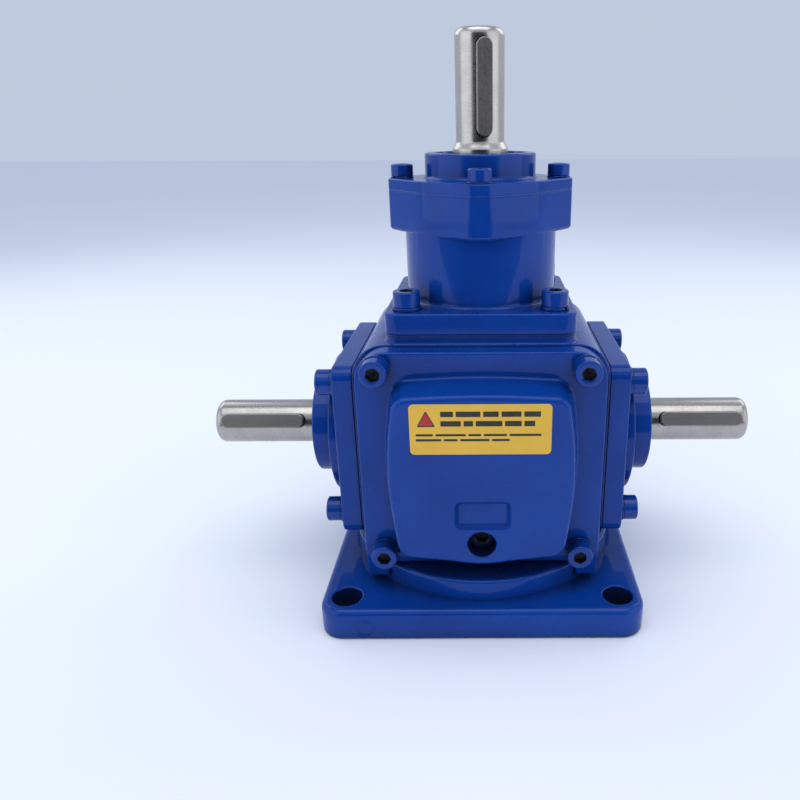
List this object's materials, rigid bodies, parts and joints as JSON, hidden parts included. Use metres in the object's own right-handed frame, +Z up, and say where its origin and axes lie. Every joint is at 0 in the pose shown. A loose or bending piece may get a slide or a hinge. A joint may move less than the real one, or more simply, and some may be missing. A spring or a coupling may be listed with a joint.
{
  "type": "right angle bevel gearbox",
  "caption": "Foot-mounted right angle bevel gearbox: box housing on a square foot flange, domed covers, an upright keyed input shaft on a round neck and a keyed cross shaft out of both sides.",
  "frame": {"origin": "centre of the foot flange's underside", "axes": "+X along the cross shaft to the right shaft end, +Y from the front cover to the rear cover, +Z up along the input shaft"},
  "size_m": [0.2352, 0.1306, 0.2264],
  "materials": {
    "blue_paint": "gloss deep blue enamel over cast iron",
    "painted_screws": "steel screws painted over with the castings",
    "ground_steel": "ground shaft steel",
    "key_steel": "darker drawn key steel",
    "gear_steel": "hardened and oiled gear steel",
    "bearing_steel": "polished bearing steel",
    "plug_steel": "blackened steel",
    "seal_rubber": "black nitrile rubber",
    "gasket": "dark fibre gasket sheet"
  },
  "bodies": {
    "root": {"end_cover_gasket": "gasket", "end_cover_screw_front": "painted_screws", "end_cover_screw_left": "painted_screws", "end_cover_screw_rear": "painted_screws", "end_cover_screw_right": "painted_screws", "front_cover": "blue_paint", "front_cover_gasket": "gasket", "front_cover_screw_lower_left": "painted_screws", "front_cover_screw_lower_right": "painted_screws", "front_cover_screw_upper_left": "painted_screws", "front_cover_screw_upper_right": "painted_screws", "front_oil_plug": "plug_steel", "housing": "blue_paint", "input_end_cover": "blue_paint", "input_neck": "blue_paint", "input_oil_seal": "seal_rubber", "left_bearing_cup": "bearing_steel", "left_cover": "blue_paint", "left_cover_gasket": "gasket", "left_cover_screw_lower_left": "painted_screws", "left_cover_screw_lower_right": "painted_screws", "left_cover_screw_upper_left": "painted_screws", "left_cover_screw_upper_right": "painted_screws", "left_oil_seal": "seal_rubber", "lower_bearing_cup": "bearing_steel", "neck_gasket": "gasket", "neck_screw_front_left": "painted_screws", "neck_screw_front_right": "painted_screws", "neck_screw_rear_left": "painted_screws", "neck_screw_rear_right": "painted_screws", "rear_cover": "blue_paint", "rear_cover_gasket": "gasket", "rear_cover_screw_lower_left": "painted_screws", "rear_cover_screw_lower_right": "painted_screws", "rear_cover_screw_upper_left": "painted_screws", "rear_cover_screw_upper_right": "painted_screws", "rear_oil_plug": "plug_steel", "right_bearing_cup": "bearing_steel", "right_cover": "blue_paint", "right_cover_gasket": "gasket", "right_cover_screw_lower_left": "painted_screws", "right_cover_screw_lower_right": "painted_screws", "right_cover_screw_upper_left": "painted_screws", "right_cover_screw_upper_right": "painted_screws", "right_oil_seal": "seal_rubber", "upper_bearing_cup": "bearing_steel"},
    "cross_shaft_body": {"cross_shaft": "ground_steel", "crown_gear": "gear_steel", "crown_gear_key": "key_steel", "left_shaft_key": "key_steel", "right_shaft_key": "key_steel", "left_bearing_cone": "bearing_steel", "right_bearing_cone": "bearing_steel"},
    "input_shaft_body": {"input_shaft": "ground_steel", "input_pinion": "gear_steel", "pinion_key": "key_steel", "input_shaft_key": "key_steel", "pinion_retaining_ring": "bearing_steel", "upper_bearing_cone": "bearing_steel", "lower_bearing_cone": "bearing_steel"}
  },
  "joints": [
    {"name": "cross_shaft_spin", "type": "hinge", "parent": "root", "child": "cross_shaft_body", "pos_m": [0, 0, 0.0677], "axis": [1, 0, 0], "continuous": true},
    {"name": "input_shaft_spin", "type": "hinge", "parent": "root", "child": "input_shaft_body", "pos_m": [0, 0, 0.0677], "axis": [0, 0, 1], "continuous": true}
  ],
  "couplings": [
    {"joint": "input_shaft_spin", "follows": "cross_shaft_spin", "ratio": -1}
  ]
}
